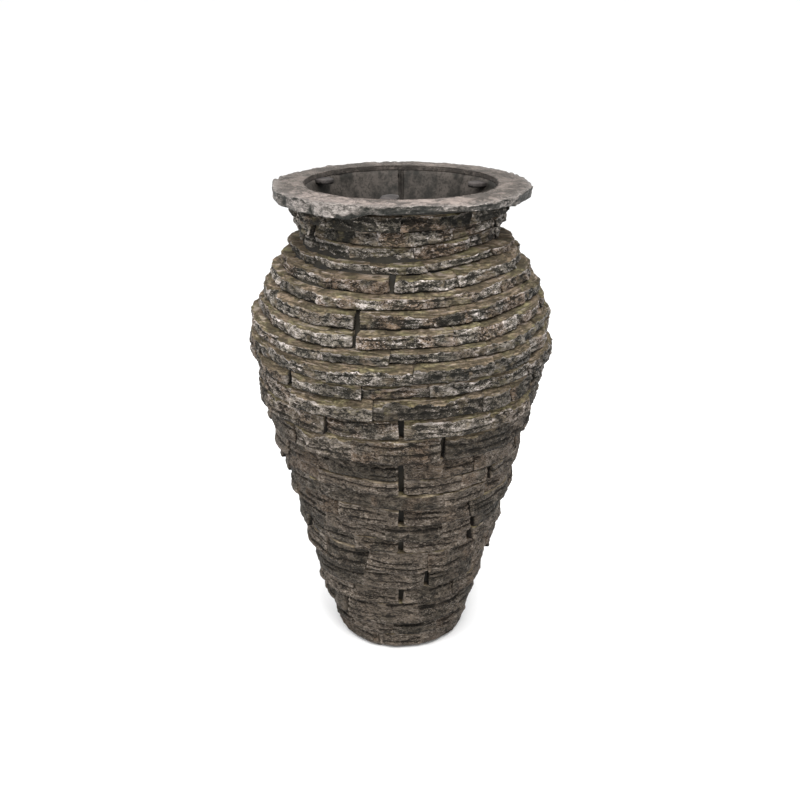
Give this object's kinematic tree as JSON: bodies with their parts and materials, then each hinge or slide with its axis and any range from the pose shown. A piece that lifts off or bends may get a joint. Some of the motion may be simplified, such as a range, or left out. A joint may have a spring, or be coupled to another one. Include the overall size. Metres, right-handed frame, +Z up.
{
  "type": "stacked slate amphora",
  "caption": "Tall garden amphora of dry-laid split slate round a cast liner: narrow round foot, wide high belly, pinched neck and a broad flat rim with lugs just inside the mouth.",
  "frame": {"origin": "centre of the foot, on the surface that the amphora stands on", "axes": "+Z up through the mouth, -Y the front, +X to the right seen from the front"},
  "size_m": [0.5076, 0.5071, 0.813],
  "materials": {
    "slate_lower": "matte",
    "slate_upper": "satin",
    "rim_stone": "matte",
    "cast_liner": "matte",
    "lug_stone": "matte"
  },
  "bodies": {
    "root": {"course_01": "slate_lower", "course_02": "slate_lower", "course_03": "slate_lower", "course_04": "slate_lower", "course_05": "slate_lower", "course_06": "slate_lower", "course_07": "slate_lower", "course_08": "slate_lower", "course_09": "slate_lower", "course_10": "slate_lower", "course_11": "slate_lower", "course_12": "slate_lower", "course_13": "slate_lower", "course_14": "slate_upper", "course_15": "slate_upper", "course_16": "slate_upper", "course_17": "slate_upper", "course_18": "slate_upper", "course_19": "slate_upper", "course_20": "slate_upper", "course_21": "slate_upper", "course_22": "slate_upper", "course_23": "slate_upper", "course_24": "slate_upper", "course_25": "slate_upper", "course_26": "slate_upper", "rim_slab": "rim_stone", "liner_left": "cast_liner", "liner_right": "cast_liner", "floor_slab": "cast_liner", "lug_left": "lug_stone", "lug_right": "lug_stone", "lug_front": "lug_stone"}
  },
  "joints": []
}
